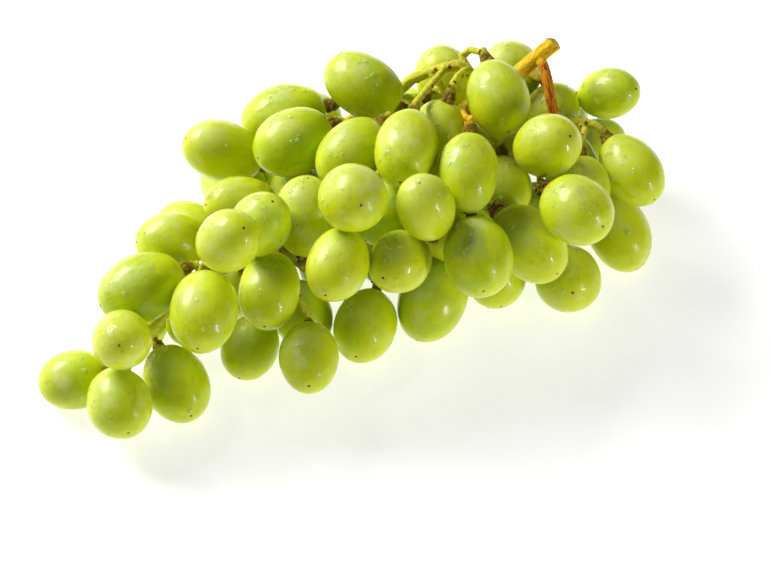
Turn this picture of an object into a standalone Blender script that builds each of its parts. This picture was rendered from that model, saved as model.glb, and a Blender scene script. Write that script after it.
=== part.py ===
"""A bunch of white table grapes, as picked, lying on its side on a table.

The stalk is one body: a cut peduncle, the middle stem that runs on from it through the bunch, its
side branches, and a short stem with a swollen end for every grape. The grapes hang from those ends
and press on each other. The grapes that show from the front are one solid each. Those inside the
bunch, and those under it and behind it, are solids of up to four that are pressed together.

Places are measured as the bunch looks from its front, from 50 degrees above the table: right and
up from the middle of the view, with each grape's height over the table. All lengths in the tables
are millimetres and all angles are degrees.
"""

import heapq
import math

import bmesh
import bpy
import numpy as np
from mathutils import Matrix, Vector

MM = 0.001

# The view that the places are measured in, and how far the bunch is turned to lie along X
VIEW_ELEVATION = 50.0
VIEW_DISTANCE = 1200.0
BUNCH_BEARING = 21.0

# Distances kept between pieces, and how deep a resting grape is pressed flat on the table
GRAPE_GAP = 0.5
STEM_GAP = 0.75
PRESSED_TOGETHER = 1.4
REST_DEPTH = 0.7
FLOOR_CLEARANCE = 0.7
RESTING_BELOW = 12.5

# Round pieces are drawn this much too large, so that their flat faces lie on the true surface
FACET_ALLOWANCE = 1.01
# Sides and rings of a grape that shows, and of one inside the bunch or under it
SIDES_SHOWN = (12, 8)
SIDES_INNER = (10, 6)
SMOOTH_BELOW = 40.0

# Colour and roughness of the two materials
SKIN_COLOUR = (0.55, 0.62, 0.10)
SKIN_ROUGHNESS = 0.35
BARK_COLOUR = (0.45, 0.30, 0.08)
BARK_ROUGHNESS = 0.75

# Stems: half the thickness of each, and the swollen end under a grape
PEDUNCLE_RADIUS = 2.4
TIP_RADIUS = 1.3
BRANCH_RADIUS = 1.6
PEDICEL_RADIUS = 0.95
SWELLING_RADIUS = 2.0
SWELLING_LENGTH = 3.4
NECK_LENGTH = 1.2
SOCKET_DEPTH = 1.6
LINE_STEP = 3.0
LEAN_BACK = 3.0
# A stem's points are kept where it bends or tapers this much, and after so many in a straight run
BEND_KEPT = 0.3
TAPER_KEPT = 0.3
MOST_LEFT_OUT = 3
# A short stem widens before its swollen end, and narrows where it sinks into a thicker one
FLARE = 1.1
ROOT_SHARE = 0.6

# Settling: steps, how readily grapes give way, and the share of a push that a grape takes from a stem
FIRST_STEPS = 400
LAST_STEPS = 300
CALM_AFTER = 0.75
FIRMNESS = 0.1
LOOSE_SEEN = 0.2
LOOSE_INNER = 0.7
LOOSE_HIDDEN = 1.0
LOOSE_AT_END = 0.4
FROM_FIXED_STEM = 0.6
FROM_FREE_STEM = 0.25
FROM_CARRIED_STEM = 0.4
FREE_STEM_GIVE = 0.6
# Settling: how far things move in one step, and how they are drawn back to their place
GRAPE_MOVE = 1.5
STEM_MOVE = 1.2
MOVE_SHARE = 0.9
EASE = 0.03
EASE_EARLY = 0.25
HOME_PULL = 0.12
HOME_REACH = 1.35
HEIGHT_SLACK = 6.0
HEIGHT_PULL = 0.15
SINKING = 0.2
TURN_TRIES = 8
TURN_SHARE = 0.9

# Ways for the stems: cell size, the space looked through, and what narrow places cost
CELL = 2.0
SPACE_AROUND = 14.0
ROOMY = 2.6
NARROW_COST = 0.8
TIGHT = 0.6
TIGHT_COST = 12.0
BLOCKED = -2.0
FAR_AWAY = 9.0
DETOUR_COST = 3.0
START_REACH = 2
START_BEYOND = 2.0
BARE_POINTS = 4
# A stem that serves several grapes is thicker
THICKER = 0.22
MOST_SERVED = 8

# Grapes that show: right, up, height, bearing and dip of the outer end, width, length
SEEN_GRAPES = (
    (4.7, 46.3, 36.0, 148, 0, 18.6, 25.4),
    (-19.2, 37.6, 32.0, 192, 0, 18.5, 26.4),
    (-16.3, 29.6, 44.0, 205, 25, 20.4, 26.0),
    (-37.6, 27.0, 34.0, 160, 30, 18.6, 26.5),
    (0.9, 26.4, 45.0, 225, 20, 18.6, 25.0),
    (17.4, 27.3, 46.0, 258, 38, 19.2, 26.5),
    (0.9, 12.0, 48.0, -43, 74, 20.4, 25.0),
    (23.0, 9.5, 46.0, 105, 50, 17.6, 23.6),
    (28.8, 46.9, 31.0, 120, 20, 18.0, 22.5),
    (45.0, 42.3, 47.0, -75, 25, 18.6, 24.3),
    (50.5, 48.6, 30.0, 150, 60, 17.5, 22.0),
    (61.8, 37.5, 30.0, 60, 10, 16.6, 20.5),
    (76.2, 42.6, 23.5, 8, 42, 15.0, 21.0),
    (59.6, 27.4, 44.0, 22, 57, 18.8, 24.4),
    (35.6, 18.8, 45.0, 265, 20, 18.4, 25.4),
    (25.8, 30.3, 39.0, 250, -10, 17.5, 24.0),
    (84.9, 20.2, 30.0, -55, 25, 17.5, 24.4),
    (73.4, 27.0, 14.0, 30, 0, 17.0, 21.0),
    (68.1, 8.1, 39.0, -35, 45, 20.4, 25.0),
    (80.6, 2.0, 12.0, -65, 10, 18.6, 26.4),
    (54.0, -1.2, 27.0, -48, 28, 20.4, 27.5),
    (65.5, -12.3, 10.0, -80, 70, 20.0, 24.0),
    (38.7, -4.2, 36.0, -83, 38, 21.0, 26.5),
    (42.0, -9.7, 12.0, -80, 20, 19.2, 22.8),
    (24.6, -17.1, 11.0, 247, 10, 20.4, 27.0),
    (14.1, -5.9, 33.0, 223, 50, 18.4, 21.8),
    (11.4, 8.4, 36.0, 236, 20, 18.0, 23.0),
    (-2.3, -6.6, 36.0, 248, 38, 18.5, 24.8),
    (4.6, -24.4, 10.5, 252, 40, 19.0, 24.6),
    (-12.6, -35.1, 14.0, 270, 50, 18.0, 25.5),
    (-14.5, -21.3, 9.0, 300, 20, 18.0, 22.0),
    (-29.2, -30.6, 10.0, 250, 20, 17.2, 20.4),
    (-24.0, -14.9, 28.0, 262, 33, 18.5, 25.6),
    (-44.1, -20.9, 31.0, 261, 35, 20.7, 27.0),
    (-36.0, 0.5, 43.0, 37, 60, 18.2, 24.6),
    (-26.4, 5.1, 39.0, 60, 45, 18.0, 22.0),
    (-13.8, 7.2, 28.0, 86, 25, 19.2, 25.2),
    (-32.0, 10.8, 32.0, 180, 30, 17.0, 24.0),
    (-53.1, 0.0, 24.0, 180, 20, 17.5, 22.5),
    (-46.0, 3.7, 16.0, 150, 0, 16.8, 21.0),
    (-62.4, -13.5, 28.0, 203, 18, 20.4, 27.8),
    (-68.7, -29.0, 27.0, 270, 84, 17.9, 24.0),
    (-83.1, -41.0, 10.0, 188, 0, 18.2, 21.6),
    (-69.7, -48.1, 14.0, -71, 35, 19.6, 22.8),
    (-52.8, -40.9, 11.0, -63, 36, 19.8, 26.2),
)

# Grapes of which little shows, in solids of one or two: right, up, height, width, length
INNER_GRAPES = (
    ((22.5, 35.4, 29.0, 17.0, 20.0), (18.0, 40.5, 17.0, 18.0, 21.0)),
    ((-61.0, -28.0, 11.0, 14.5, 17.0),),
    ((-49.5, -21.8, 16.0, 14.0, 16.5),),
    ((-18.0, 16.2, 21.0, 17.0, 20.0),),
    ((45.5, 15.3, 31.0, 17.0, 20.0),),
    ((56.4, 9.6, 18.0, 18.0, 21.0),),
    ((69.9, 15.2, 21.0, 16.8, 20.0), (66.3, 25.0, 24.0, 17.0, 20.0)),
    ((44.7, 32.1, 24.0, 18.0, 21.0),),
    ((25.8, -1.2, 26.0, 17.5, 20.5),),
)

# Grapes on the table that the others hide, in solids of two to four: along the view and away from it
HIDDEN_GRAPES = (
    ((-33.5, 9.0), (-18.5, 20.0), (-1.0, 27.0)),
    ((-14.0, 3.0), (3.0, 10.0)),
    ((20.0, 17.0), (36.0, 20.0), (51.0, 27.0), (57.5, 37.0)),
    ((-37.0, -27.0), (-23.0, -17.0)),
    ((-5.0, -13.0), (10.0, -3.0), (25.0, -6.0), (41.0, 1.0)),
)
HIDDEN_HEIGHT = 9.0
HIDDEN_WIDTH = 18.5
HIDDEN_LENGTH = 23.0

# Stems drawn from what shows: right, up, height
MIDDLE_STEM = (
    (62.2, 58.6, 50.0),
    (56.1, 53.7, 44.5),
    (52.5, 50.8, 41.0),
    (46.5, 46.0, 37.5),
    (40.5, 42.3, 35.0),
    (33.6, 38.0, 32.0),
    (22.0, 28.5, 30.0),
    (8.0, 18.0, 28.0),
    (-12.0, 8.0, 27.0),
    (-38.0, -8.0, 25.0),
    (-50.0, -15.0, 22.0),
)
GREEN_BRANCH = (
    (43.0, 43.4, 36.0),
    (38.2, 48.0, 42.0),
    (35.7, 51.0, 45.5),
    (33.0, 52.2, 46.5),
    (29.4, 51.6, 45.5),
    (24.6, 50.4, 42.5),
    (19.5, 48.3, 38.0),
    (16.0, 45.4, 32.5),
)
WOODY_BRANCH = (
    (57.6, 54.6, 45.9),
    (59.4, 49.6, 43.7),
    (60.6, 43.5, 40.0),
    (61.5, 38.1, 36.5),
    (63.9, 35.4, 33.5),
    (66.9, 34.8, 32.5),
    (70.0, 34.6, 32.5),
)
# Short stems that show, by the number of the grape that they carry
DRAWN_STEMS = {
    10: ((35.7, 51.0, 45.5), (34.3, 55.0, 47.6), (36.8, 56.7, 49.5), (39.6, 56.0, 50.8)),
    15: ((34.6, 38.6, 32.4), (34.9, 36.6, 37.0), (36.4, 35.6, 42.0)),
    16: ((35.2, 51.2, 45.8), (32.7, 48.6, 48.5), (30.8, 45.2, 49.5)),
    17: ((70.0, 34.6, 32.5), (74.4, 33.9, 33.5), (76.8, 31.8, 33.0)),
    46: ((25.2, 50.5, 43.0), (27.4, 47.2, 42.0), (28.8, 44.0, 39.0)),
    51: ((33.6, 38.0, 32.0), (36.0, 34.6, 36.0), (40.8, 31.4, 37.5), (44.4, 28.5, 38.0)),
    53: ((69.0, 34.6, 32.5), (70.8, 31.6, 33.0)),
}
DRAWN_OUTWARD = {46: (226, -15), 51: (-88, 20), 53: (-88, 10)}


def view_axes():
    """Right, up and toward the viewer, as rows."""
    lift = math.radians(VIEW_ELEVATION)
    return np.array(
        (
            (1.0, 0.0, 0.0),
            (0.0, math.sin(lift), math.cos(lift)),
            (0.0, -math.cos(lift), math.sin(lift)),
        )
    )


def placed(right, up, height):
    """The point over the table that is seen at (right, up) and lies this high."""
    sine = math.sin(math.radians(VIEW_ELEVATION))
    cosine = math.cos(math.radians(VIEW_ELEVATION))
    nearer = (height - up * cosine) / sine
    shrink = 1 - nearer / VIEW_DISTANCE
    return np.array((right * shrink, (up * shrink - height * cosine) / sine, height))


def seen(points):
    """Where points over the table are seen, as (right, up)."""
    local = points @ view_axes().T
    return local[:, :2] / (1 - local[:, 2:] / VIEW_DISTANCE)


def direction(bearing, dip):
    """The direction that is seen at this bearing and comes toward the viewer by this dip."""
    bearing = math.radians(bearing)
    dip = math.radians(dip)
    local = (math.cos(dip) * math.cos(bearing), math.cos(dip) * math.sin(bearing), math.sin(dip))
    return np.array(local) @ view_axes()


def smooth_line(points, step):
    """A curve through the points, read about every step."""
    points = np.array(points, float)
    ends = (2 * points[0] - points[1], 2 * points[-1] - points[-2])
    padded = np.vstack((ends[0], points, ends[1]))
    line = []
    for i in range(1, len(padded) - 2):
        before, start, stop, after = padded[i - 1 : i + 3]
        count = max(1, round(float(np.linalg.norm(stop - start)) / step))
        for k in range(count):
            t = k / count
            linear = (stop - before) * t
            square = (2 * before - 5 * start + 4 * stop - after) * t * t
            cubic = (3 * start - before - 3 * stop + after) * t**3
            line.append(0.5 * (2 * start + linear + square + cubic))
    line.append(points[-1])
    return np.array(line)


class Grapes:
    """All grapes as arrays, with the number of the solid that each belongs to."""

    def __init__(self, middle_line):
        rows = []
        for right, up, height, bearing, dip, width, length in SEEN_GRAPES:
            outward = direction(bearing, dip)
            if height <= RESTING_BELOW:
                height = rest_height(outward, width, length)
            rows.append((placed(right, up, height), outward, width, length, len(rows), LOOSE_SEEN))
        solid = len(rows)
        for group in INNER_GRAPES:
            for right, up, height, width, length in group:
                centre = placed(right, up, height)
                outward = away_from(middle_line, centre)
                if len(rows) + 1 in DRAWN_OUTWARD:
                    outward = direction(*DRAWN_OUTWARD[len(rows) + 1])
                rows.append((centre, outward, width, length, solid, LOOSE_INNER))
            solid += 1
        for group in HIDDEN_GRAPES:
            for along, away in group:
                centre = np.array((along, away, HIDDEN_HEIGHT))
                outward = away_from(middle_line, centre)
                size = (HIDDEN_WIDTH, HIDDEN_LENGTH)
                rows.append((centre, outward, *size, solid, LOOSE_HIDDEN))
            solid += 1
        self.centre, self.outward, width, length, self.solid, self.loose = map(np.array, zip(*rows))
        shrink = 1 - (self.centre @ view_axes()[2]) / VIEW_DISTANCE
        measured = self.loose < LOOSE_HIDDEN
        self.radius = np.where(measured, width * shrink, width) / 2
        self.reach = np.where(measured, length * shrink, length) / 2
        self.shape = ellipsoids(self.outward, self.radius, self.reach)
        self.depth = np.sqrt(self.shape[:, 2, 2])
        self.resting = self.centre[:, 2] <= RESTING_BELOW
        self.home = seen(self.centre)
        self.nearness = self.centre @ view_axes()[2]

    def socket(self, distance):
        """The point this far out of each grape's stem end."""
        return self.centre - self.outward * (self.reach + distance)[:, None]


def rest_height(outward, width, length):
    """The height of a grape's middle when it is pressed flat on the table."""
    radius = width / 2
    reach = length / 2
    square = radius**2 + (reach**2 - radius**2) * outward[2] ** 2
    return math.sqrt(square) - REST_DEPTH


def away_from(line, point):
    """The direction from the nearest point of the line, leaning back along it, out to a point."""
    gaps = point - line
    out = gaps[np.argmin(np.linalg.norm(gaps, axis=1))] - np.array((LEAN_BACK, 0.0, 0.0))
    return out / np.linalg.norm(out)


def ellipsoids(outward, radius, reach):
    """One matrix for each grape: the square of its half widths, turned to its own direction."""
    along = outward[:, :, None] * outward[:, None, :]
    across_square = (radius**2)[:, None, None]
    reach_square = (reach**2)[:, None, None]
    return across_square * np.eye(3) + (reach_square - across_square) * along


def half_width(shape, normal):
    return np.sqrt(np.einsum("ij,ijk,ik->i", normal, shape, normal))


def separation(offset, first, second):
    """The gap between pairs of ellipsoids, below zero where they overlap, and its direction."""
    distance = np.linalg.norm(offset, axis=1, keepdims=True)
    normal = offset / distance
    for _ in range(TURN_TRIES):
        first_edge = np.einsum("ijk,ik->ij", first, normal) / half_width(first, normal)[:, None]
        second_edge = np.einsum("ijk,ik->ij", second, normal) / half_width(second, normal)[:, None]
        between = offset - first_edge - second_edge
        along = (between * normal).sum(axis=1, keepdims=True)
        normal = normal + TURN_SHARE / distance * (between - along * normal)
        normal = normal / np.linalg.norm(normal, axis=1, keepdims=True)
    gap = (normal * offset).sum(axis=1) - half_width(first, normal) - half_width(second, normal)
    return gap, normal


class Stems:
    """The stalk as a tree of points. A point is fixed, free, or carried by the grape it ends at."""

    FIXED, FREE, CARRIED = range(3)

    def __init__(self):
        self.spot = []
        self.parent = []
        self.kind = []
        self.grape = []
        self.offset = []
        self.home = []
        self.radius = []

    def add(self, spot, parent, kind, radius, grape=-1, offset=0.0, home=False):
        self.spot.append(np.array(spot))
        self.parent.append(parent)
        self.kind.append(kind)
        self.radius.append(radius)
        self.grape.append(grape)
        self.offset.append(offset)
        self.home.append(home)
        return len(self.spot) - 1

    def add_line(self, points, radii, parent):
        """Fixed points along a line."""
        for point, radius in zip(points, radii):
            parent = self.add(point, parent, Stems.FIXED, radius)
        return parent

    def nearest_fixed(self, point):
        fixed = [i for i, kind in enumerate(self.kind) if kind == Stems.FIXED]
        gaps = [np.linalg.norm(self.spot[i] - point) for i in fixed]
        return fixed[int(np.argmin(gaps))]

    def add_socket(self, grapes, k, parent):
        """The neck and the swollen end that a grape hangs from."""
        neck = (SWELLING_LENGTH + NECK_LENGTH, PEDICEL_RADIUS)
        swelling = (SOCKET_DEPTH, SOCKET_DEPTH)
        for distance, radius in (neck, swelling):
            spot = grapes.socket(distance)[k]
            parent = self.add(spot, parent, Stems.CARRIED, radius, k, distance)


def settle(grapes, stems, steps):
    """Pushes grapes and stems apart, keeping what shows where it is seen."""
    first, second = np.triu_indices(len(grapes.centre), 1)
    same = grapes.solid[first] == grapes.solid[second]
    joined = same & (second == first + 1)
    wanted = np.where(same, -PRESSED_TOGETHER, GRAPE_GAP)
    longest = np.sqrt(np.linalg.eigvalsh(grapes.shape)[:, -1])
    spot = np.array(stems.spot)
    kind = np.array(stems.kind)
    owner = np.array(stems.grape)
    offset = np.array(stems.offset)
    thick = np.array(stems.radius)
    drawn = np.array(stems.home)
    start = spot.copy()
    parent = np.array(stems.parent)
    linked = np.nonzero((parent >= 0) & ((kind != Stems.FIXED) | (kind[parent] != Stems.FIXED)))[0]
    axes = view_axes()
    for step in range(steps):
        left = max(0.0, 1 - step / (CALM_AFTER * steps))
        move = np.zeros_like(grapes.centre)
        between = grapes.centre[second] - grapes.centre[first]
        distance = np.linalg.norm(between, axis=1)
        near = (distance < longest[first] + longest[second] + GRAPE_GAP) | joined
        a, b = first[near], second[near]
        gap, normal = separation(between[near], grapes.shape[a], grapes.shape[b])
        short = wanted[near] - gap
        short = np.where(joined[near], short, np.maximum(short, 0))
        give = FIRMNESS + grapes.loose
        share = (give[a] / (give[a] + give[b]))[:, None]
        push = short[:, None] * normal
        np.add.at(move, a, -share * push)
        np.add.at(move, b, (1 - share) * push)

        carried = kind == Stems.CARRIED
        spot[carried] = (grapes.centre - grapes.outward * grapes.reach[:, None])[owner[carried]]
        spot[carried] -= grapes.outward[owner[carried]] * offset[carried][:, None]
        between = grapes.centre[:, None] - spot[None]
        near = np.linalg.norm(between, axis=2) < longest[:, None] + thick[None] + STEM_GAP
        near[owner[carried], np.nonzero(carried)[0]] = False
        a, b = np.nonzero(near)
        balls = (thick[b] ** 2)[:, None, None] * np.eye(3)
        gap, normal = separation(between[a, b], balls, grapes.shape[a])
        push = np.maximum(STEM_GAP - gap, 0)[:, None] * normal
        of_kind = [kind[b] == Stems.FIXED, kind[b] == Stems.FREE]
        grape_share = np.select(of_kind, [FROM_FIXED_STEM, FROM_FREE_STEM], FROM_CARRIED_STEM)
        np.add.at(move, a, push * grape_share[:, None])
        stem_move = np.zeros_like(spot)
        free = kind[b] == Stems.FREE
        np.add.at(stem_move, b[free], -FREE_STEM_GIVE * push[free])
        tied = kind[b] == Stems.CARRIED
        np.add.at(move, owner[b[tied]], -FROM_CARRIED_STEM * push[tied])

        total = np.zeros_like(spot)
        count = np.zeros(len(spot))
        for one, other in ((linked, parent[linked]), (parent[linked], linked)):
            np.add.at(total, one, spot[other])
            np.add.at(count, one, 1)
        middle = total / np.maximum(count, 1)[:, None]
        ease = EASE + EASE_EARLY * left
        straighten = np.where(drawn[:, None], start - spot, middle - spot)
        stem_move += ease * straighten
        free = kind == Stems.FREE
        spot[free] += limited(stem_move, STEM_MOVE)[free]
        spot[free, 2] = np.maximum(spot[free, 2], thick[free] + FLOOR_CLEARANCE)

        local = move @ axes.T
        stiff = grapes.loose if left > 0 else np.maximum(grapes.loose, LOOSE_AT_END)
        local[:, :2] *= stiff[:, None]
        grapes.centre = grapes.centre + MOVE_SHARE * limited(local @ axes, GRAPE_MOVE)
        slip = grapes.home - seen(grapes.centre)
        drawn_back = np.clip(HOME_REACH - grapes.loose, 0, 1) * (grapes.loose < LOOSE_HIDDEN)
        keep = HOME_PULL * left * drawn_back
        grapes.centre += keep[:, None] * (slip @ axes[:2])
        sunk = grapes.nearness - grapes.centre @ axes[2]
        far = np.where(grapes.resting, 0, sunk - np.clip(sunk, -HEIGHT_SLACK, HEIGHT_SLACK))
        grapes.centre += (HEIGHT_PULL * keep * far)[:, None] * axes[2]
        grapes.centre[:, 2] -= SINKING * left * (grapes.loose == LOOSE_HIDDEN)
        lowest = grapes.depth - REST_DEPTH
        lifted = np.maximum(grapes.centre[:, 2], grapes.depth + FLOOR_CLEARANCE)
        grapes.centre[:, 2] = np.where(grapes.resting, lowest, lifted)
    stems.spot = list(spot)


def limited(move, most):
    size = np.linalg.norm(move, axis=1, keepdims=True)
    return move * np.minimum(1, most / np.maximum(size, 1e-9))


def clearance(points, grapes):
    """About how far each point is from the nearest grape."""
    nearest = np.full(points.shape[:-1], FAR_AWAY)
    for centre, inverse in zip(grapes.centre, np.linalg.inv(grapes.shape)):
        gaps = points - centre
        scaled = np.sqrt(np.einsum("...i,ij,...j->...", gaps, inverse, gaps))
        size = np.linalg.norm(gaps, axis=-1)
        nearest = np.minimum(nearest, size * (1 - 1 / np.maximum(scaled, 1e-3)))
    return nearest


def ways_to_the_stalk(grapes, stems):
    """For every cell among the grapes, the next cell on the easiest way to the stalk."""
    low = grapes.centre.min(axis=0) - SPACE_AROUND
    high = grapes.centre.max(axis=0) + SPACE_AROUND
    low[2] = CELL
    count = np.ceil((high - low) / CELL).astype(int)
    cells = np.stack(np.meshgrid(*[np.arange(n) for n in count], indexing="ij"), -1)
    room = clearance(low + cells * CELL, grapes)
    cost = 1 + NARROW_COST * np.maximum(0, ROOMY - room) ** 2
    cost[room < TIGHT] += TIGHT_COST
    cost[room < BLOCKED] = np.inf
    effort = np.full(room.shape, np.inf)
    towards = {}
    queue = []
    for i, (spot, kind) in enumerate(zip(stems.spot, stems.kind)):
        cell = tuple(np.round((spot - low) / CELL).astype(int))
        if kind == Stems.FIXED and i > BARE_POINTS and effort[cell] > 0:
            effort[cell] = 0
            towards[cell] = i
            queue.append((0.0, cell))
    heapq.heapify(queue)
    steps = [
        (a, b, c, CELL * math.sqrt(a * a + b * b + c * c))
        for a in (-1, 0, 1)
        for b in (-1, 0, 1)
        for c in (-1, 0, 1)
        if (a, b, c) != (0, 0, 0)
    ]
    while queue:
        spent, cell = heapq.heappop(queue)
        if spent > effort[cell]:
            continue
        for a, b, c, length in steps:
            near = (cell[0] + a, cell[1] + b, cell[2] + c)
            if min(near) < 0 or near[0] >= count[0] or near[1] >= count[1] or near[2] >= count[2]:
                continue
            total = spent + length * cost[near]
            if total < effort[near]:
                effort[near] = total
                towards[near] = cell
                heapq.heappush(queue, (total, near))
    return low, effort, towards


def grow_stems(grapes, stems):
    """Adds a stem from every grape that has none, along the free ways to the stalk."""
    low, effort, towards = ways_to_the_stalk(grapes, stems)
    ways = {}
    neck = grapes.socket(SWELLING_LENGTH + START_BEYOND)
    for k in range(len(grapes.centre)):
        if k + 1 in DRAWN_STEMS:
            continue
        middle = np.round((neck[k] - low) / CELL).astype(int)
        choices = []
        for cell in np.ndindex(*[2 * START_REACH + 1] * 3):
            cell = tuple(int(value) for value in middle + np.array(cell) - START_REACH)
            if cell in towards:
                away = np.linalg.norm(low + np.array(cell) * CELL - neck[k])
                choices.append((effort[cell] + DETOUR_COST * away, cell))
        cell = min(choices)[1]
        way = []
        while isinstance(cell, tuple):
            way.append(cell)
            cell = towards[cell]
        ways[k] = (way, cell)
    served = {}
    branches = {}
    for way, _ in ways.values():
        for outer, cell in zip([None] + way, way):
            served[cell] = served.get(cell, 0) + 1
            branches.setdefault(cell, set()).add(outer)
    added = {}
    for k, (way, root) in ways.items():
        parent = root
        for place, cell in enumerate(reversed(way)):
            if cell in added:
                parent = added[cell]
                continue
            if place % 2 == 0 and len(branches[cell]) < 2:
                continue
            radius = PEDICEL_RADIUS * min(served[cell], MOST_SERVED) ** THICKER
            added[cell] = stems.add(low + np.array(cell) * CELL, parent, Stems.FREE, radius)
            parent = added[cell]
        stems.add_socket(grapes, k, parent)


def lay_out():
    """All grapes and stems at their places over the table, in the measuring view's own axes."""
    middle = smooth_line([placed(*point) for point in MIDDLE_STEM], LINE_STEP)
    grapes = Grapes(middle)
    stems = Stems()
    share = np.linspace(0, 1, len(middle))
    radii = PEDUNCLE_RADIUS + (TIP_RADIUS - PEDUNCLE_RADIUS) * share
    stems.add_line(middle, radii, -1)
    for points in (GREEN_BRANCH, WOODY_BRANCH):
        line = smooth_line([placed(*point) for point in points], LINE_STEP)
        parent = stems.nearest_fixed(line[0])
        stems.add_line(line, np.full(len(line), BRANCH_RADIUS), parent)
    for number, points in DRAWN_STEMS.items():
        line = smooth_line([placed(*point) for point in points], LINE_STEP)
        parent = stems.nearest_fixed(line[0])
        for point in line[1:]:
            parent = stems.add(point, parent, Stems.FREE, PEDICEL_RADIUS, home=True)
        stems.add_socket(grapes, number - 1, parent)
    settle(grapes, stems, FIRST_STEPS)
    grow_stems(grapes, stems)
    settle(grapes, stems, LAST_STEPS)
    return grapes, stems


def to_bunch(points, corner):
    """From the measuring view's axes in millimetres to the bunch's own in metres."""
    turn = math.radians(-BUNCH_BEARING)
    turned = np.array(
        (
            (math.cos(turn), -math.sin(turn), 0.0),
            (math.sin(turn), math.cos(turn), 0.0),
            (0.0, 0.0, 1.0),
        )
    )
    return (np.asarray(points) @ turned.T - corner) * MM


def material(name, colour, roughness):
    made = bpy.data.materials.new(name)
    made.use_nodes = True
    shader = made.node_tree.nodes["Principled BSDF"]
    shader.inputs["Base Color"].default_value = (*colour, 1.0)
    shader.inputs["Roughness"].default_value = roughness
    shader.inputs["Metallic"].default_value = 0.0
    return made


def grape_mesh(radius, reach, sides, rings):
    """An ellipsoid along Z, from its stem end to its outer end."""
    shape = bmesh.new()
    bmesh.ops.create_uvsphere(shape, u_segments=sides, v_segments=rings, radius=1.0)
    size = FACET_ALLOWANCE * MM
    bmesh.ops.scale(shape, vec=(radius * size, radius * size, reach * size), verts=shape.verts)
    return shape


def grape_object(name, centre, outward, radius, reach, sides, rings):
    """A grape at its place, pressed flat where it would reach into the table."""
    shape = grape_mesh(radius, reach, sides, rings)
    turn = Vector(outward).to_track_quat("Z", "Y")
    place = Matrix.Translation(Vector(centre)) @ turn.to_matrix().to_4x4()
    if min((place @ corner.co).z for corner in shape.verts) < 0:
        flatten_on_table(shape, place)
    mesh = bpy.data.meshes.new(name)
    shape.to_mesh(mesh)
    shape.free()
    mesh.shade_smooth()
    mesh.set_sharp_from_angle(angle=math.radians(SMOOTH_BELOW))
    grape = bpy.data.objects.new(name, mesh)
    grape.location = centre
    grape.rotation_mode = "QUATERNION"
    grape.rotation_quaternion = turn
    return grape


def flatten_on_table(shape, place):
    """Cuts away what is under the table and closes the cut with one flat face."""
    inward = place.inverted()
    point = inward @ Vector((place.translation.x, place.translation.y, 0.0))
    normal = inward.to_3x3() @ Vector((0.0, 0.0, 1.0))
    parts = shape.verts[:] + shape.edges[:] + shape.faces[:]
    cut = bmesh.ops.bisect_plane(
        shape, geom=parts, dist=1e-7, plane_co=point, plane_no=normal, clear_inner=True
    )
    rim = [part for part in cut["geom_cut"] if isinstance(part, bmesh.types.BMEdge)]
    bmesh.ops.contextual_create(shape, geom=rim)
    bmesh.ops.recalc_face_normals(shape, faces=shape.faces[:])


def tube(name, points, radii, sides_level):
    """A closed tube through the points, as a mesh."""
    curve = bpy.data.curves.new(name, "CURVE")
    curve.dimensions = "3D"
    curve.bevel_depth = MM
    curve.bevel_resolution = sides_level
    curve.use_fill_caps = True
    line = curve.splines.new("POLY")
    line.points.add(len(points) - 1)
    for knot, point, radius in zip(line.points, points, radii):
        knot.co = (*point, 1.0)
        knot.radius = radius
    guide = bpy.data.objects.new(name, curve)
    bpy.context.scene.collection.objects.link(guide)
    bpy.context.view_layer.update()
    evaluated = guide.evaluated_get(bpy.context.evaluated_depsgraph_get())
    mesh = bpy.data.meshes.new_from_object(evaluated)
    bpy.data.objects.remove(guide)
    shape = bmesh.new()
    shape.from_mesh(mesh)
    bmesh.ops.remove_doubles(shape, verts=shape.verts[:], dist=1e-6)
    bmesh.ops.recalc_face_normals(shape, faces=shape.faces[:])
    shape.to_mesh(mesh)
    shape.free()
    return bpy.data.objects.new(name, mesh)


def join_solids(name, solids, solver):
    """One body made of solids that reach into each other."""
    first, others = solids[0], solids[1:]
    bpy.context.scene.collection.objects.link(first)
    if others:
        collection = bpy.data.collections.new(name + "_parts")
        bpy.context.scene.collection.children.link(collection)
        for solid in others:
            collection.objects.link(solid)
        union = first.modifiers.new("union", "BOOLEAN")
        union.operation = "UNION"
        union.operand_type = "COLLECTION"
        union.collection = collection
        union.solver = solver
        bpy.context.view_layer.update()
        evaluated = first.evaluated_get(bpy.context.evaluated_depsgraph_get())
        mesh = bpy.data.meshes.new_from_object(evaluated)
        first.modifiers.clear()
        fill_pockets(mesh)
        first.data = mesh
        for solid in others:
            bpy.data.objects.remove(solid)
        bpy.data.collections.remove(collection)
    first.name = name
    first.data.name = name
    return first


def fill_pockets(mesh):
    """Deletes the shells inside a body, where pieces met round a small hollow."""
    shape = bmesh.new()
    shape.from_mesh(mesh)
    waiting = set(shape.faces)
    shells = []
    while waiting:
        shell = [waiting.pop()]
        for face in shell:
            for edge in face.edges:
                for neighbour in edge.link_faces:
                    if neighbour in waiting:
                        waiting.remove(neighbour)
                        shell.append(neighbour)
        shells.append(shell)
    largest = max(shells, key=len)
    inner = [face for shell in shells if shell is not largest for face in shell]
    bmesh.ops.delete(shape, geom=inner, context="FACES")
    shape.to_mesh(mesh)
    shape.free()


def stalk_lines(stems):
    """Lines of points from every outer end inward, each ending inside a line laid before it."""
    inner_ends = set()
    lines = []
    outer = sorted(set(range(len(stems.spot))) - set(stems.parent))
    for tip in sorted(outer, key=lambda i: (stems.kind[i] != Stems.FIXED, i)):
        line = [tip]
        while stems.parent[line[-1]] >= 0 and line[-1] not in inner_ends:
            line.append(stems.parent[line[-1]])
        inner_ends.update(line)
        lines.append(line)
    return lines


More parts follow.
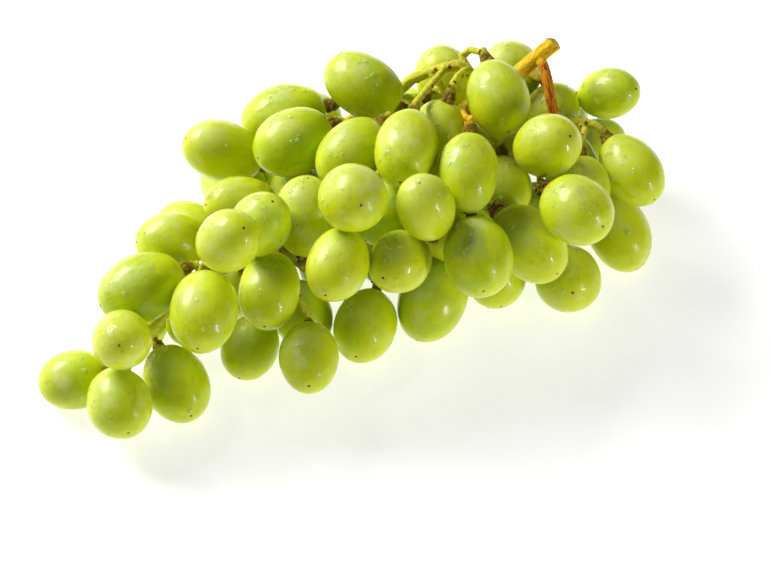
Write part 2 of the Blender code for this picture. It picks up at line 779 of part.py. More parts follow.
def thinned(points, radii):
    """The line without the points that lie almost straight between their neighbours."""
    kept = [0]
    for i in range(1, len(points) - 1):
        back = points[kept[-1]]
        along = points[i + 1] - back
        along = along / np.linalg.norm(along)
        passed = points[kept[-1] + 1 : i + 1]
        bends = [np.linalg.norm(np.cross(point - back, along)) for point in passed]
        tapers = abs(radii[i] - radii[kept[-1]]) > TAPER_KEPT
        if max(bends) > BEND_KEPT or len(passed) > MOST_LEFT_OUT or tapers:
            kept.append(i)
    kept.append(len(points) - 1)
    return [points[i] for i in kept], [radii[i] for i in kept]


def stalk_solids(grapes, stems, corner):
    """The middle stem first, then every branch and short stem."""
    solids = []
    for line in stalk_lines(stems):
        points = [stems.spot[i] for i in line]
        radii = [stems.radius[i] for i in line]
        owner = stems.grape[line[0]]
        if owner >= 0:
            points[0] = grapes.socket(STEM_GAP)[owner]
            radii[0] = SWELLING_RADIUS
            points.insert(1, grapes.socket(SWELLING_LENGTH)[owner])
            radii.insert(1, PEDICEL_RADIUS * FLARE)
        points, radii = thinned(points, radii)
        if stems.parent[line[-1]] >= 0:
            back = points[-2] - points[-1]
            neck = min(radii[-1], ROOT_SHARE * np.linalg.norm(back))
            points.insert(-1, points[-1] + back / np.linalg.norm(back) * neck)
            radii[-1] = radii[-2]
            radii.append(radii[-1] / 2)
        level = 1 if owner >= 0 else 2
        solids.append(tube("stem", to_bunch(points, corner), radii, level))
    return solids


def main():
    for leftover in list(bpy.data.objects):
        bpy.data.objects.remove(leftover)
    grapes, stems = lay_out()
    skin = material("grape_skin", SKIN_COLOUR, SKIN_ROUGHNESS)
    bark = material("stalk_bark", BARK_COLOUR, BARK_ROUGHNESS)
    bunch = bpy.data.collections.new("bunch_of_grapes")
    bpy.context.scene.collection.children.link(bunch)

    corner = find_corner(grapes)
    pieces = [join_solids("stalk", stalk_solids(grapes, stems, corner), "MANIFOLD")]
    pieces[0].data.materials.clear()
    pieces[0].data.materials.append(bark)
    shown = len(SEEN_GRAPES)
    for solid in range(grapes.solid.max() + 1):
        members = np.nonzero(grapes.solid == solid)[0]
        name = "grape_%02d" % (solid + 1) if len(members) == 1 else "grapes_%02d" % (solid + 1)
        sides, rings = SIDES_SHOWN if solid < shown else SIDES_INNER
        solids = []
        for k in members:
            centre = to_bunch(grapes.centre[k], corner)
            outward = to_bunch(grapes.outward[k], np.zeros(3)) / MM
            sizes = (grapes.radius[k], grapes.reach[k])
            solids.append(grape_object(name, centre, outward, *sizes, sides, rings))
        grape = join_solids(name, solids, "EXACT")
        grape.data.materials.clear()
        grape.data.materials.append(skin)
        pieces.append(grape)
    for piece in pieces:
        bunch.objects.link(piece)
        bpy.context.scene.collection.objects.unlink(piece)


def find_corner(grapes):
    """The middle of the bunch's box on the table, once it is turned."""
    turned = to_bunch(grapes.centre, np.zeros(3)) / MM
    outward = to_bunch(grapes.outward, np.zeros(3)) / MM
    shape = ellipsoids(outward, grapes.radius, grapes.reach)
    half = np.sqrt(np.einsum("kii->ki", shape)) * FACET_ALLOWANCE
    low = (turned - half).min(axis=0)
    high = (turned + half).max(axis=0)
    return np.array(((low[0] + high[0]) / 2, (low[1] + high[1]) / 2, 0.0))


main()
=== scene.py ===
"""Looks of a bunch of green table grapes lying on a pale table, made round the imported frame.

Each grape of the frame is measured, and a finer grape takes its place. The stalk is made again
with its cushions, warts and bark. Water drops lie on the skins.
"""

import math

import bmesh
import bpy
import numpy as np
from mathutils import Matrix, Vector


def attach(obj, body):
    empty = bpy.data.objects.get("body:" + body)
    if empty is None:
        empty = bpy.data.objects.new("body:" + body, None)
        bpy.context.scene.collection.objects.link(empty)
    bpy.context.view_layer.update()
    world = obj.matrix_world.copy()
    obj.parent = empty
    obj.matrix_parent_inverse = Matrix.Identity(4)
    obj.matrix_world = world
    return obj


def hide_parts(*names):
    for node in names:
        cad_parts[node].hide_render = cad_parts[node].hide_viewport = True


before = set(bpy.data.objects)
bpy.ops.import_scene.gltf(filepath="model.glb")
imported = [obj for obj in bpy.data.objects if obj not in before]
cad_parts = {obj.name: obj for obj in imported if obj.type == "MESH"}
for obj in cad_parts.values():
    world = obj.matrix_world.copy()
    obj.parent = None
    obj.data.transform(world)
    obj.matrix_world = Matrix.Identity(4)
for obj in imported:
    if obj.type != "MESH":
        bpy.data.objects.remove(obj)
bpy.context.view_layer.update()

MM = 0.001

# The photograph's frame, and how the bunch lies in it.
IMAGE_WIDTH = 772
IMAGE_HEIGHT = 579
PIXEL = 0.30 * MM
PIXEL_ORIGIN = (350.0, 240.0)
VIEW_ORIGIN = Vector((6.7647 * MM, 5.4988 * MM, 0.0))
VIEW_AZIMUTH = math.radians(-21.0)
VIEW_ELEVATION = math.radians(50.0)
VIEW_DISTANCE = 1200.0 * MM
SENSOR = 36.0
CLIP = (0.05, 20.0)

# Seeds of the random draws. A grape's own is the first one plus its number.
SKIN_SEED = 1000
STALK_SEED = 5
BARK_SEED = 7
WATER_SEED = 31

# Measuring the frame's grapes: how close points are to be one, the least crease between two
# grapes, how far a flat on the table reaches up, the fewest points of a grape, and how much wider
# the fit through a faceted solid's corners is than the grape.
WELD = 0.001 * MM
SEAM_ANGLE = math.radians(-3.0)
FLAT_ZONE = 0.3 * MM
FEWEST_POINTS = 12
FACET_ALLOWANCE = 1.01

# The finer grapes: sides, rings, angles from the pole of the close rings at each end, how much
# wider the stem half is, how full they are, and how softly the table flattens them.
SIDES = 56
BODY_RINGS = 34
POLE_RINGS = (0.012, 0.024, 0.038, 0.055, 0.08, 0.11, 0.15, 0.2, 0.26, 0.33)
EGG = (-0.03, 0.035)
FULLNESS = 0.97
TABLE_ROUNDING = 0.12 * MM

# Depth and radius of the dimple at the stem, and of the pit and the knob at the far end.
STEM_DIMPLE = (0.7 * MM, 1.9 * MM)
FAR_PIT = (0.12 * MM, 0.9 * MM)
FAR_KNOB = (0.2 * MM, 0.27 * MM)

# A smooth random field is a sum of waves. Their usual height brings it to about one.
WAVES = 6
WAVES_HEIGHT = 2.4

# Height and size of the lumps on a skin: broad ones and small ones.
BROAD_LUMPS = (0.10 * MM, 14 * MM)
SMALL_LUMPS = (0.03 * MM, 5 * MM)

# Scuffs on the skins: pixel, size in pixels, strength.
SCUFFS = (
    (263, 183, 5, 0.7),
    (274, 189, 4, 0.6),
    (252, 177, 4, 0.4),
    (258, 195, 4, 0.45),
    (545, 176, 3, 1.0),
)

# The stalk's skin, and the cushion under a grape, in millimetres: radius and height along it.
STALK_VOXEL = 0.3 * MM
BARK_THICKNESS = 0.2 * MM
CUSHION_OUTLINE = ((0, -1.5), (1.95, -1.5), (1.0, 1.5), (0, 1.5))
CUSHION_SIDES = 16
CUSHION_RISE = 0.9 * MM
BIG_CUSHIONS = {"grape_19": 1.8, "grape_21": 1.4}

# Warts on each cushion: how many, how far out and up, and how they crowd toward its wide end.
WARTS = 26
WARTS_OUT = (2.0, 1.15)
WARTS_UP = (-0.9, 2.4)
WARTS_CROWDING = 1.3
WART_OUTLINE = ((0, -1), (0.87, -0.5), (0.87, 0.5), (0, 1))
WART_SIDES = 6
WART_RADIUS = (0.28 * MM, 0.54 * MM)

# Knots on the bark, on faces at least this large, and none within these pixels of the main stem.
KNOTS = 330
KNOT_AREA = 0.3 * MM * MM
SMOOTH_BARK = 12.0

# Pixels along the ochre main stem and down the woody branch, with half their widths.
OCHRE_LINE = ((560, 45), (537, 65), (525, 77), (500, 92), (468, 118), (440, 150))
OCHRE_WIDTH = 8.0
WOODY_LINE = ((547, 70), (551, 92), (555, 116), (556, 140))
WOODY_WIDTH = 6.0

# Which way the bark's grain runs on each, right and up, and how far it is drawn out.
OCHRE_WAY = (0.78, 0.62)
WOODY_WAY = (0.2, -0.98)
GRAIN_STRETCH = 0.88

# Height and size of the bark's ridges and grit, how far cushions and knots colour it, how much
# coarser cushions are, and how dark a place is that has no knots.
RIDGES = (0.06 * MM, 4.0 * MM)
GRIT = (0.04 * MM, 1.1 * MM)
CUSHION_REACH = 2.6 * MM
KNOT_REACH = 0.5 * MM
GRIT_ON_CUSHIONS = 2
KNOTLESS = 0.3

# How many of its own widths away a scuff, a cushion's colour and any other mark fades out.
SCUFF_FADE = 1.3
CUSHION_FADE = 1.5
MARK_FADE = 1.6

# The cut end's two faces: a pixel on it, and where it faces, right and up.
CUTS = (((557, 41), (0.05, 0.99)), ((564, 44), (0.97, 0.2)))
CUT_REACH = 20.0
CUT_RIM = 0.7 * MM

# Where the water was sprayed from, right, up and toward in the picture, how narrowly, and how much
# of it lies on the other sides. The side of each grape that faces it, where the key light's sheen
# falls, also gets a pale painted highlight.
SPRAY_SIDE = (-0.36, 0.55, 0.75)
SPRAY_FOCUS = 5
SPRAY_STRAY = 0.012

# Water: how many fine and large drops, their radii, how strongly the finest outnumber the others,
# and how far they are drawn out of round.
MIST_COUNT = 24000
MIST_RADIUS = (0.06 * MM, 0.18 * MM)
MIST_FINENESS = 2.2
DROP_COUNT = 260
DROP_RADIUS = (0.3 * MM, 0.9 * MM)
DROP_STRETCH = (0.8, 1.2)

# Sides, rings and height of a fine and of a large drop one in radius, and how deep both are sunk.
FINE_DROP = (6, 2, 0.75)
LARGE_DROP = (16, 5, 0.42)
DROP_SUNK = 0.35

# The wetter patches' sizes and strengths, and how wet the skin is between and in them.
LARGE_PATCHES = (1.0, 23 * MM)
SMALL_PATCHES = (0.6, 9 * MM)
WETNESS = 0.35
PATCH_WETNESS = 0.6
WETNESS_RANGE = (0.04, 1.5)

# How near, in pixels, a skin's face is to be the one that a pixel shows.
PIXEL_REACH = 3.0

# Pixels of large drops that show.
DROP_PIXELS = (
    (435, 190), (443, 195), (439, 204), (653, 184), (564, 103), (293, 138), (231, 146), (308, 89),
    (370, 80), (381, 86), (376, 75), (337, 157), (343, 151), (578, 140), (124, 292), (150, 262),
    (300, 335), (340, 250), (396, 282), (470, 246), (512, 228), (86, 366), (203, 330), (262, 240),
)


def view_frame():
    """The photograph's right, up and toward directions."""
    turn = Matrix.Rotation(VIEW_AZIMUTH, 3, "Z")
    right = turn @ Vector((1, 0, 0))
    up = turn @ Vector((0, math.sin(VIEW_ELEVATION), math.cos(VIEW_ELEVATION)))
    toward = turn @ Vector((0, -math.cos(VIEW_ELEVATION), math.sin(VIEW_ELEVATION)))
    return right, up, toward


RIGHT, UP, TOWARD = view_frame()
CAMERA_PLACE = VIEW_ORIGIN + TOWARD * VIEW_DISTANCE
SPRAY = np.array(RIGHT * SPRAY_SIDE[0] + UP * SPRAY_SIDE[1] + TOWARD * SPRAY_SIDE[2])


def on_picture(x, y):
    """The point of the picture's plane that a pixel shows."""
    return (
        VIEW_ORIGIN
        + RIGHT * ((x - PIXEL_ORIGIN[0]) * PIXEL)
        + UP * ((PIXEL_ORIGIN[1] - y) * PIXEL)
    )


def pixels_of(points):
    """Pixels at which points show, as rows of x and y."""
    offset = np.asarray(points) - np.array(CAMERA_PLACE)
    depth = -offset @ np.array(TOWARD)
    scale = VIEW_DISTANCE / depth / PIXEL
    across = offset @ np.array(RIGHT) * scale
    upward = offset @ np.array(UP) * scale
    return np.stack([PIXEL_ORIGIN[0] + across, PIXEL_ORIGIN[1] - upward], axis=1)


# Reading the frame


def node_surface(name):
    """A node's mesh with its points welded."""
    mesh = bmesh.new()
    mesh.from_mesh(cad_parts[name].data)
    bmesh.ops.remove_doubles(mesh, verts=mesh.verts, dist=WELD)
    return mesh


def separate_grapes(mesh):
    """The points of each grape in a node, without those on the creases where grapes meet."""
    bmesh.ops.recalc_face_normals(mesh, faces=mesh.faces)
    creased = {
        vert
        for edge in mesh.edges
        if edge.calc_face_angle_signed(0.0) < SEAM_ANGLE
        for vert in edge.verts
    }
    waiting = set(mesh.verts) - creased
    groups = []
    for first in mesh.verts:
        if first not in waiting:
            continue
        waiting.remove(first)
        group = [first]
        for vert in group:
            for edge in vert.link_edges:
                other = edge.other_vert(vert)
                if other in waiting:
                    waiting.remove(other)
                    group.append(other)
        groups.append(group)
    return groups


def fitted_grape(points):
    """Centre, axis, half length and half width of the spheroid through the points."""
    middle = points.mean(axis=0)
    size = np.abs(points - middle).max()
    x, y, z = ((points - middle) / size).T
    terms = np.stack([x * x, y * y, z * z, x * y, x * z, y * z, x, y, z], axis=1)
    fit = np.linalg.lstsq(terms, np.ones(len(x)), rcond=None)[0]
    form = np.array(
        [
            [fit[0], fit[3] / 2, fit[4] / 2],
            [fit[3] / 2, fit[1], fit[5] / 2],
            [fit[4] / 2, fit[5] / 2, fit[2]],
        ]
    )
    centre = -0.5 * np.linalg.solve(form, fit[6:])
    level = 1 + centre @ form @ centre
    values, axes = np.linalg.eigh(form / level)
    radii = size / np.sqrt(values)
    odd = 0 if abs(radii[0] - radii[1]) > abs(radii[2] - radii[1]) else 2
    others = [i for i in range(3) if i != odd]
    return middle + centre * size, axes[:, odd], radii[odd], radii[others].mean()


def grapes_of(name):
    """The fitted grapes of a node."""
    mesh = node_surface(name)
    found = []
    for group in separate_grapes(mesh):
        points = np.array([vert.co for vert in group if vert.co.z > FLAT_ZONE], float)
        if len(points) > FEWEST_POINTS:
            found.append(fitted_grape(points))
    mesh.free()
    return found


class Grape:
    """One grape: its centre, the direction from its stem to its far end, and its half sizes."""

    def __init__(self, node, centre, axis, length, width, stalk_points):
        self.node = node
        self.centre = centre
        first, second = (
            np.linalg.norm(stalk_points - (centre + sign * axis * length), axis=1).min()
            for sign in (-1, 1)
        )
        self.outward = axis if first <= second else -axis
        self.length = length / FACET_ALLOWANCE
        self.width = width / FACET_ALLOWANCE

    def axes(self):
        """Three directions across and along the grape, as columns."""
        outward = Vector(self.outward)
        across = outward.orthogonal().normalized()
        return np.array([across, outward.cross(across), outward]).T


def all_grapes():
    """Every grape of the frame, in the nodes' order."""
    stalk = node_surface("stalk")
    stalk_points = np.array([vert.co for vert in stalk.verts], float)
    stalk.free()
    grapes = []
    for name in sorted(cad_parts):
        if name != "stalk":
            grapes += [Grape(name, *shape, stalk_points) for shape in grapes_of(name)]
    return grapes


# Grape skins


def smooth_lumps(points, size, rng):
    """A smooth random field over points, about one in amplitude."""
    total = np.zeros(len(points))
    for _ in range(WAVES):
        direction = rng.normal(size=3)
        direction /= np.linalg.norm(direction)
        total += np.sin(points @ direction * (2 * math.pi / size) + rng.uniform(0, 2 * math.pi))
    return total / WAVES_HEIGHT


def grape_profile(grape, rng):
    """Rings from the stem end to the far end: how far out and along each one lies."""
    middle = np.linspace(POLE_RINGS[-1], math.pi - POLE_RINGS[-1], BODY_RINGS)[1:-1]
    angles = np.concatenate([POLE_RINGS, middle, math.pi - np.array(POLE_RINGS)[::-1]])
    egg = rng.uniform(*EGG)
    out = grape.width * np.sin(angles) ** FULLNESS * (1 + egg * np.cos(angles))
    stem_half = angles < math.pi / 2
    along = -grape.length * np.cos(angles)
    along += STEM_DIMPLE[0] * np.exp(-((out / STEM_DIMPLE[1]) ** 2)) * stem_half
    along -= FAR_PIT[0] * np.exp(-((out / FAR_PIT[1]) ** 2)) * ~stem_half
    along += FAR_KNOB[0] * np.exp(-((out / FAR_KNOB[1]) ** 2)) * ~stem_half
    return out, along


def grape_surface(grape, rng):
    """Local points and faces of one grape."""
    out, along = grape_profile(grape, rng)
    around = np.linspace(0, 2 * math.pi, SIDES, endpoint=False)
    x = out[:, None] * np.cos(around)
    y = out[:, None] * np.sin(around)
    z = np.repeat(along[:, None], SIDES, axis=1)
    rings = np.stack([x, y, z], axis=2).reshape(-1, 3)
    local = np.vstack([rings, [(0, 0, along[0])], [(0, 0, along[-1])]])
    push = local / np.linalg.norm(local, axis=1)[:, None]
    broad = BROAD_LUMPS[0] * smooth_lumps(local, BROAD_LUMPS[1], rng)
    small = SMALL_LUMPS[0] * smooth_lumps(local, SMALL_LUMPS[1], rng)
    local = local + push * (broad + small)[:, None]
    count = len(out)
    faces = []
    for ring in range(count - 1):
        for side in range(SIDES):
            after = (side + 1) % SIDES
            low = ring * SIDES
            faces.append((low + side, low + after, low + SIDES + after, low + SIDES + side))
    stem_pole = count * SIDES
    last = (count - 1) * SIDES
    for side in range(SIDES):
        after = (side + 1) % SIDES
        faces.append((stem_pole, after, side))
        faces.append((stem_pole + 1, last + side, last + after))
    return local, faces


def rest_on_table(points):
    """Points with whatever reaches below the table pressed flat on it."""
    height = points[:, 2] / TABLE_ROUNDING
    points[:, 2] = TABLE_ROUNDING * np.logaddexp(0, height)
    return points


def grape_object(name, members, skin):
    """One object for the grapes of a node, and its faces of four corners for the dew to lie on."""
    points, places, tones, marks, faces = [], [], [], [], []
    for number, grape in members:
        rng = np.random.default_rng(SKIN_SEED + number)
        local, own_faces = grape_surface(grape, rng)
        start = sum(len(part) for part in points)
        faces += [tuple(start + corner for corner in face) for face in own_faces]
        world = rest_on_table(local @ grape.axes().T + grape.centre)
        points.append(world)
        places.append(local / MM)
        tones.append(np.repeat(rng.uniform(0, 1, size=(1, 3)), len(local), axis=0))
        marks.append(skin_marks(world, grape.centre))
    mesh = bpy.data.meshes.new(name)
    world = np.vstack(points)
    mesh.from_pydata(world.tolist(), [], faces)
    add_vectors(mesh, "place", np.vstack(places))
    add_vectors(mesh, "tone", np.vstack(tones))
    add_vectors(mesh, "marks", np.vstack(marks))
    mesh.shade_smooth()
    mesh.materials.append(skin)
    obj = bpy.data.objects.new(name, mesh)
    bpy.context.scene.collection.objects.link(obj)
    quads = world[np.array([face for face in faces if len(face) == 4])]
    return obj, quads


def near_share(distance, width, fade=MARK_FADE):
    """1 near a line or spot, falling to 0 a little past its width."""
    return np.clip(fade - distance / width, 0, 1)


def skin_marks(points, centre):
    """How brown the skin is at each point, for the scuffs that show, and how strongly a pale painted
    highlight lies on it.
    """
    pixels = pixels_of(points)
    brown = np.zeros(len(points))
    for x, y, size, strength in SCUFFS:
        away = np.linalg.norm(pixels - (x, y), axis=1)
        brown = np.maximum(brown, strength * near_share(away, size, SCUFF_FADE))
    outward = points - centre
    outward /= np.linalg.norm(outward, axis=1)[:, None]
    # Painted highlight: strongest where the skin faces the key light's sheen.
    painted_sheen = np.clip(outward @ SPRAY, 0, 1) ** SPRAY_FOCUS
    return np.stack([brown, painted_sheen, np.zeros(len(points))], axis=1)


def add_vectors(mesh, name, values):
    """Stores one vector for each point of a mesh."""
    layer = mesh.attributes.new(name, "FLOAT_VECTOR", "POINT")
    layer.data.foreach_set("vector", np.ascontiguousarray(values, np.float32).ravel())


# Materials. Noise scales are cycles to a millimetre, and distances on a grape are millimetres.

# Grape skin: its flesh, ends, wax, marks and a painted highlight. The shift moves each grape to its
# own patch of noise.
LIME = (0.51, 0.65, 0.001)
YELLOW_LIME = (0.64, 0.71, 0.002)
CLOUDY_FLESH = (0.71, 0.78, 0.006)
VEIN = (0.40, 0.49, 0.002)
FAR_HALO = (0.70, 0.72, 0.03)
STEM_DIP = (0.42, 0.36, 0.03)
BLOOM = (0.82, 0.86, 0.50)
SPECK = (0.20, 0.09, 0.01)
SCAR = (0.11, 0.025, 0.004)
# Pale colour of the painted highlight on the skins that face the key light's sheen.
PAINTED_SHEEN = (0.80, 0.90, 0.40)
SCUFF = (0.30, 0.12, 0.015)
TONE_SHIFT = (57, 91, 73)

# Heights of a skin's beads of water, its waves and its runs of water, for its relief.
BEAD_RELIEF = 0.35
WAVE_RELIEF = 1.5
RUN_RELIEF = 1.3

# Water: name, colour, how much it covers, roughness. Its pale colours are painted glints and
# reflections of real water drops.
DEW_WITH_GLINTS = ("dew", (0.92, 0.97, 0.40), 0.8, 0.06)
WATER_WITH_GLINTS = ("water", (0.80, 0.90, 0.25), 0.4, 0.03)

# Bark: two colours for each kind, mixed by its grain.
GREEN_BARK = ((0.74, 0.72, 0.08), (0.54, 0.52, 0.03))
OCHRE_BARK = ((0.95, 0.62, 0.03), (0.72, 0.34, 0.01))
WOODY_BARK = ((0.76, 0.30, 0.02), (0.30, 0.06, 0.004))
WARTY_BARK = ((0.02, 0.003, 0.001), (0.24, 0.042, 0.004))
KNOT = (0.20, 0.045, 0.006)
CUT_WOOD = (0.42, 0.15, 0.02)


def new_material(name):
    """A material with only a Principled BSDF and its output."""
    material = bpy.data.materials.new(name)
    material.use_nodes = True
    tree = material.node_tree
    return material, tree, tree.nodes["Principled BSDF"]


def attribute(tree, name):
    """The vector that the mesh stores under a name."""
    node = tree.nodes.new("ShaderNodeAttribute")
    node.attribute_name = name
    return node.outputs["Vector"]


def noise(tree, vector, scale, detail=2.0, roughness=0.5, distortion=0.0):
    """A smooth noise from 0 to 1."""
    node = tree.nodes.new("ShaderNodeTexNoise")
    node.inputs["Scale"].default_value = scale
    node.inputs["Detail"].default_value = detail
    node.inputs["Roughness"].default_value = roughness
    node.inputs["Distortion"].default_value = distortion
    tree.links.new(vector, node.inputs["Vector"])
    return node.outputs["Fac"]


def ramp(tree, value, low, high, start=0.0, end=1.0):
    """A value turned smoothly from start to end as the input goes from low to high."""
    node = tree.nodes.new("ShaderNodeMapRange")
    node.interpolation_type = "SMOOTHSTEP"
    node.inputs["From Min"].default_value = low
    node.inputs["From Max"].default_value = high
    node.inputs["To Min"].default_value = start
    node.inputs["To Max"].default_value = end
    tree.links.new(value, node.inputs["Value"])
    return node.outputs["Result"]


def math_node(tree, operation, first, second):
    """The result of a sum on sockets or numbers."""
    node = tree.nodes.new("ShaderNodeMath")
    node.operation = operation
    for socket, value in zip(node.inputs, (first, second)):
        if isinstance(value, (int, float)):
            socket.default_value = value
        else:
            tree.links.new(value, socket)
    return node.outputs["Value"]


def mixed(tree, share, first, second):
    """A colour between two, each a socket or a plain colour."""
    node = tree.nodes.new("ShaderNodeMix")
    node.data_type = "RGBA"
    tree.links.new(share, node.inputs["Factor"])
    for socket, value in ((node.inputs[6], first), (node.inputs[7], second)):
        if isinstance(value, tuple):
            socket.default_value = (*value, 1)
        else:
            tree.links.new(value, socket)
    return node.outputs[2]


def parts_of(tree, vector):
    """The three numbers of a vector."""
    node = tree.nodes.new("ShaderNodeSeparateXYZ")
    tree.links.new(vector, node.inputs[0])
    return node.outputs


def multiplied(tree, vector, factors, added=None):
    """A vector times fixed factors, plus another vector where there is one."""
    node = tree.nodes.new("ShaderNodeVectorMath")
    node.operation = "MULTIPLY_ADD"
    tree.links.new(vector, node.inputs[0])
    node.inputs[1].default_value = factors
    if added is not None:
        tree.links.new(added, node.inputs[2])
    return node.outputs["Vector"]


def times(tree, first, second):
    """Two sockets or numbers multiplied."""
    return math_node(tree, "MULTIPLY", first, second)


def spotted(tree, vector, scale):
    """How far each point is from the nearest of scattered spots."""
    node = tree.nodes.new("ShaderNodeTexVoronoi")
    node.inputs["Scale"].default_value = scale
    tree.links.new(vector, node.inputs["Vector"])
    return node.outputs["Distance"]


def add_bump(tree, height, strength, distance, shader, sockets):
    """Small relief on the shader's normals."""
    bump = tree.nodes.new("ShaderNodeBump")
    bump.inputs["Strength"].default_value = strength
    bump.inputs["Distance"].default_value = distance
    tree.links.new(height, bump.inputs["Height"])
    for socket in sockets:
        tree.links.new(bump.outputs["Normal"], shader.inputs[socket])


def set_inputs(shader, **values):
    """Fixed values on a shader's own sockets, with _ for a space in their names."""
    for name, value in values.items():
        shader.inputs[name.replace("_", " ")].default_value = value


def flesh_colour(tree, own, tone):
    """Lime of the grape's own tone, with cloudy flesh and green veins that run along it."""
    lime = mixed(tree, tone, LIME, YELLOW_LIME)
    cloudy = ramp(tree, noise(tree, own, 0.14, 3.0, 0.55), 0.38, 0.68, 0.0, 0.75)
    colour = mixed(tree, cloudy, lime, CLOUDY_FLESH)
    along = multiplied(tree, own, (1, 1, 0.22))
    veins = ramp(tree, noise(tree, along, 0.55, 3.0, 0.6), 0.5, 0.72, 0.0, 0.4)
    return mixed(tree, veins, colour, VEIN)


def ends_colour(tree, colour, place):
    """The pale halo at the far end and the brownish dip at the stem, and how far the scar reaches."""
    across = tree.nodes.new("ShaderNodeVectorMath")
    across.operation = "LENGTH"
    tree.links.new(multiplied(tree, place, (1, 1, 0)), across.inputs[0])
    from_axis = across.outputs["Value"]
    along = parts_of(tree, place)[2]
    far_half = math_node(tree, "GREATER_THAN", along, 0.0)
    stem_half = math_node(tree, "LESS_THAN", along, 0.0)
    halo = times(tree, ramp(tree, from_axis, 0.3, 2.2, 0.35, 0.0), far_half)
    colour = mixed(tree, halo, colour, FAR_HALO)
    dip = times(tree, ramp(tree, from_axis, 1.2, 3.6, 0.55, 0.0), stem_half)
    colour = mixed(tree, dip, colour, STEM_DIP)
    scar = times(tree, ramp(tree, from_axis, 0.32, 0.5, 1.0, 0.0), far_half)
    return colour, scar


def marks_colour(tree, colour, own, scar):
    """Specks, the far end's scar, a patchy painted highlight on the side facing the spray, and
    scuffs.
    """
    speck = ramp(tree, spotted(tree, own, 0.17), 0.022, 0.045, 0.85, 0.0)
    colour = mixed(tree, speck, colour, SPECK)
    colour = mixed(tree, scar, colour, SCAR)
    brown, painted_sheen, _ = parts_of(tree, attribute(tree, "marks"))
    # Painted highlight: the pale sheen colour laid in patches on the side facing the spray.
    sheen_patches = ramp(tree, noise(tree, own, 0.2, 3.0, 0.6), 0.3, 0.62, 0.08, 0.5)
    colour = mixed(tree, times(tree, painted_sheen, sheen_patches), colour, PAINTED_SHEEN)
    patchy = ramp(tree, noise(tree, own, 0.9, 3.0, 0.6), 0.35, 0.6)
    return mixed(tree, times(tree, brown, patchy), colour, SCUFF)


def wet_relief(tree, own):
    """The height of beads of water, gentle waves of the skin and runs of water."""
    beads = ramp(tree, spotted(tree, own, 2.3), 0.08, 0.36, 1.0, 0.0)
    beads = times(tree, beads, ramp(tree, noise(tree, own, 0.2, 2.0), 0.42, 0.6))
    waves = noise(tree, own, 0.32, 2.0, 0.5)
    wet = ramp(tree, noise(tree, own, 0.13, 2.0), 0.5, 0.62)
    runs = times(tree, noise(tree, own, 1.0, 2.0, 0.6), wet)
    beads = times(tree, beads, BEAD_RELIEF)
    waves = times(tree, waves, WAVE_RELIEF)
    height = math_node(tree, "ADD", beads, waves)
    return math_node(tree, "ADD", height, times(tree, runs, RUN_RELIEF))


def skin_material():
    """Translucent green skin with a waxy bloom under a thin wet coat."""
    material, tree, shader = new_material("grape_skin")
    place = attribute(tree, "place")
    tone = attribute(tree, "tone")
    tone_x, tone_y, _ = parts_of(tree, tone)
    own = multiplied(tree, tone, TONE_SHIFT, place)

    colour = flesh_colour(tree, own, tone_x)
    colour, scar = ends_colour(tree, colour, place)
    bloom = ramp(tree, noise(tree, own, 0.11, 4.0, 0.62), 0.53, 0.72, 0.0, 0.42)
    bloom = times(tree, bloom, ramp(tree, tone_y, 0.1, 0.9, 0.3, 1.0))
    colour = mixed(tree, bloom, colour, BLOOM)
    colour = marks_colour(tree, colour, own, scar)
    tree.links.new(colour, shader.inputs["Base Color"])

    gloss = ramp(tree, noise(tree, own, 0.3, 3.0, 0.6), 0.35, 0.65, 0.36, 0.50)
    dusty = times(tree, bloom, 0.5)
    tree.links.new(math_node(tree, "ADD", gloss, dusty), shader.inputs["Roughness"])
    set_inputs(shader, Subsurface_Weight=1.0, Subsurface_Radius=(1.0, 1.0, 0.2))
    set_inputs(shader, Subsurface_Scale=2.4 * MM, Specular_IOR_Level=0.34, IOR=1.4)
    set_inputs(shader, Coat_Weight=0.6, Coat_Roughness=0.05, Coat_IOR=1.3)
    add_bump(tree, wet_relief(tree, own), 0.35, 0.12 * MM, shader, ("Normal", "Coat Normal"))
    return material


def water_material(name, colour, cover, roughness):
    """Water on the skin: glossy, with a pale colour that paints its glints, laid only partly over
    what it covers.
    """
    material, _, shader = new_material(name)
    set_inputs(shader, Base_Color=(*colour, 1), Alpha=cover, Roughness=roughness)
    set_inputs(shader, IOR=1.33, Specular_IOR_Level=1.0)
    return material


def bark_material():
    """Bark: green branches, ochre main stem, woody red-brown branch and dark warty cushions."""
    material, tree, shader = new_material("stalk_bark")
    ochre, woody, dark = parts_of(tree, attribute(tree, "zones"))
    freckled, cut, _ = parts_of(tree, attribute(tree, "spots"))
    place = attribute(tree, "place")
    grain = noise(tree, attribute(tree, "grain"), 1.6, 3.0, 0.6)
    fine = noise(tree, place, 0.9, 4.0, 0.6)
    pimples = noise(tree, place, 1.6, 3.0)
    colour = mixed(tree, ramp(tree, fine, 0.3, 0.7), *GREEN_BARK)
    colour = mixed(tree, ochre, colour, mixed(tree, ramp(tree, grain, 0.42, 0.68), *OCHRE_BARK))
    colour = mixed(tree, woody, colour, mixed(tree, ramp(tree, grain, 0.38, 0.62), *WOODY_BARK))
    colour = mixed(tree, dark, colour, mixed(tree, ramp(tree, pimples, 0.44, 0.66), *WARTY_BARK))
    colour = mixed(tree, freckled, colour, KNOT)
    colour = mixed(tree, cut, colour, CUT_WOOD)
    tree.links.new(colour, shader.inputs["Base Color"])
    set_inputs(shader, Roughness=0.55, Specular_IOR_Level=0.05)
    set_inputs(shader, Subsurface_Weight=0.1, Subsurface_Radius=(1.0, 0.5, 0.1))
    set_inputs(shader, Subsurface_Scale=0.8 * MM)
    height = math_node(tree, "ADD", grain, noise(tree, place, 3.0, 3.0))
    add_bump(tree, height, 0.7, 0.15 * MM, shader, ("Normal",))
    return material


# Stalk


